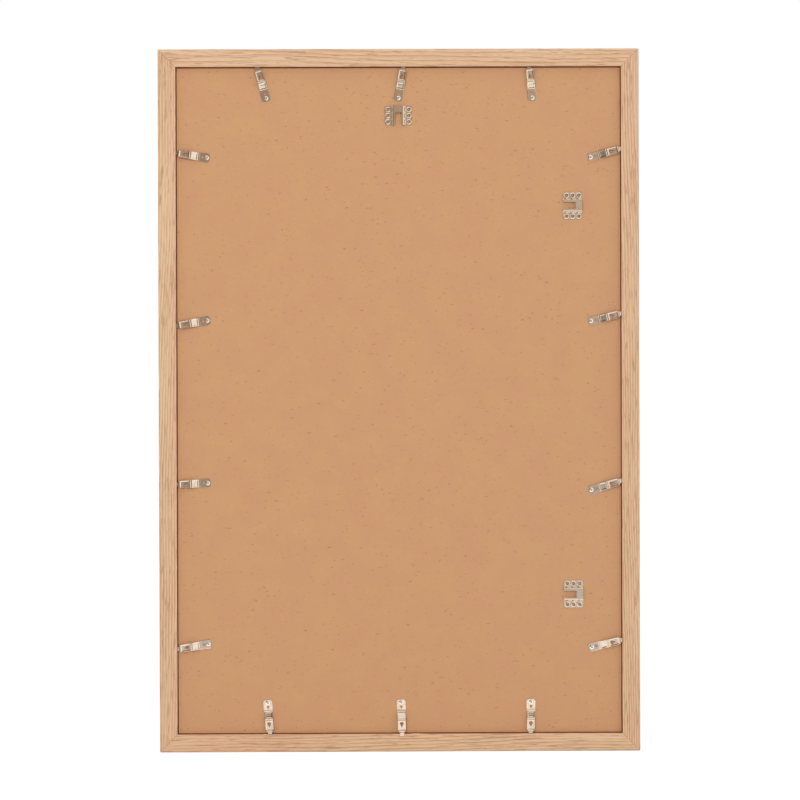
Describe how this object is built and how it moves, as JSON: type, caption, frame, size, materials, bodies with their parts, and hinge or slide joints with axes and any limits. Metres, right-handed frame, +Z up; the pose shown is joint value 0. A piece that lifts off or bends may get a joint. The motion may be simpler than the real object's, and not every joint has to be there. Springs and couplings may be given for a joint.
{
  "type": "picture frame",
  "caption": "Upright wooden picture frame with mitred rails, a hardboard back held by turning steel clips, and sawtooth hangers for hanging either way round.",
  "frame": {"origin": "where the wall nail sits: in the middle notch of the top hanger, on the plane of the frame's back", "axes": "+Z up the frame as it hangs upright, +Y out of its back and into the wall, and +X to the left as seen from behind, so the picture faces -Y"},
  "size_m": [0.65, 0.0214, 0.95],
  "materials": {
    "oak": "bare sanded oak with a light matt oil",
    "beech": "bare turned dowel",
    "hardboard": "smooth face of pressed fibre board",
    "paper": "plain uncoated sheet",
    "glass": "clear float glass",
    "plated_clip": "pressed steel with bright nickel plate",
    "plated_rivet": "bright nickel plate",
    "plated_hanger": "pressed steel with duller nickel plate"
  },
  "bodies": {
    "root": {"rail_top": "oak", "rail_left": "oak", "rail_bottom": "oak", "rail_right": "oak", "dowel_top_left": "beech", "dowel_bottom_left": "beech", "dowel_bottom_right": "beech", "dowel_top_right": "beech", "backing_board": "hardboard", "picture_sheet": "paper", "glazing": "glass", "hanger_top": "plated_hanger", "hanger_right_upper": "plated_hanger", "hanger_right_lower": "plated_hanger", "rivet_top_1": "plated_rivet", "rivet_top_2": "plated_rivet", "rivet_top_3": "plated_rivet", "rivet_left_1": "plated_rivet", "rivet_left_2": "plated_rivet", "rivet_left_3": "plated_rivet", "rivet_left_4": "plated_rivet", "rivet_bottom_1": "plated_rivet", "rivet_bottom_2": "plated_rivet", "rivet_bottom_3": "plated_rivet", "rivet_right_1": "plated_rivet", "rivet_right_2": "plated_rivet", "rivet_right_3": "plated_rivet", "rivet_right_4": "plated_rivet"},
    "clip_top_1": {"clip_top_1": "plated_clip"},
    "clip_top_2": {"clip_top_2": "plated_clip"},
    "clip_top_3": {"clip_top_3": "plated_clip"},
    "clip_left_1": {"clip_left_1": "plated_clip"},
    "clip_left_2": {"clip_left_2": "plated_clip"},
    "clip_left_3": {"clip_left_3": "plated_clip"},
    "clip_left_4": {"clip_left_4": "plated_clip"},
    "clip_bottom_1": {"clip_bottom_1": "plated_clip"},
    "clip_bottom_2": {"clip_bottom_2": "plated_clip"},
    "clip_bottom_3": {"clip_bottom_3": "plated_clip"},
    "clip_right_1": {"clip_right_1": "plated_clip"},
    "clip_right_2": {"clip_right_2": "plated_clip"},
    "clip_right_3": {"clip_right_3": "plated_clip"},
    "clip_right_4": {"clip_right_4": "plated_clip"}
  },
  "joints": [
    {"name": "clip_top_1_turn", "type": "hinge", "parent": "root", "child": "clip_top_1", "pos_m": [0.1787, -0.006, 0.019], "axis": [0, 1, 0], "continuous": true},
    {"name": "clip_top_2_turn", "type": "hinge", "parent": "root", "child": "clip_top_2", "pos_m": [0, -0.006, 0.019], "axis": [0, 1, 0], "range_deg": [-105, 123]},
    {"name": "clip_top_3_turn", "type": "hinge", "parent": "root", "child": "clip_top_3", "pos_m": [-0.1813, -0.006, 0.019], "axis": [0, 1, 0], "continuous": true},
    {"name": "clip_left_1_turn", "type": "hinge", "parent": "root", "child": "clip_left_1", "pos_m": [0.2593, -0.006, -0.719], "axis": [0, 1, 0], "continuous": true},
    {"name": "clip_left_2_turn", "type": "hinge", "parent": "root", "child": "clip_left_2", "pos_m": [0.2593, -0.006, -0.5011], "axis": [0, 1, 0], "continuous": true},
    {"name": "clip_left_3_turn", "type": "hinge", "parent": "root", "child": "clip_left_3", "pos_m": [0.2593, -0.006, -0.2812], "axis": [0, 1, 0], "continuous": true},
    {"name": "clip_left_4_turn", "type": "hinge", "parent": "root", "child": "clip_left_4", "pos_m": [0.2593, -0.006, -0.0611], "axis": [0, 1, 0], "continuous": true},
    {"name": "clip_bottom_1_turn", "type": "hinge", "parent": "root", "child": "clip_bottom_1", "pos_m": [-0.1773, -0.006, -0.799], "axis": [0, 1, 0], "continuous": true},
    {"name": "clip_bottom_2_turn", "type": "hinge", "parent": "root", "child": "clip_bottom_2", "pos_m": [-0.0014, -0.006, -0.799], "axis": [0, 1, 0], "continuous": true},
    {"name": "clip_bottom_3_turn", "type": "hinge", "parent": "root", "child": "clip_bottom_3", "pos_m": [0.1792, -0.006, -0.799], "axis": [0, 1, 0], "continuous": true},
    {"name": "clip_right_1_turn", "type": "hinge", "parent": "root", "child": "clip_right_1", "pos_m": [-0.2599, -0.006, -0.0617], "axis": [0, 1, 0], "continuous": true},
    {"name": "clip_right_2_turn", "type": "hinge", "parent": "root", "child": "clip_right_2", "pos_m": [-0.2599, -0.006, -0.2832], "axis": [0, 1, 0], "continuous": true},
    {"name": "clip_right_3_turn", "type": "hinge", "parent": "root", "child": "clip_right_3", "pos_m": [-0.2599, -0.006, -0.5119], "axis": [0, 1, 0], "continuous": true},
    {"name": "clip_right_4_turn", "type": "hinge", "parent": "root", "child": "clip_right_4", "pos_m": [-0.2599, -0.006, -0.7251], "axis": [0, 1, 0], "continuous": true}
  ]
}
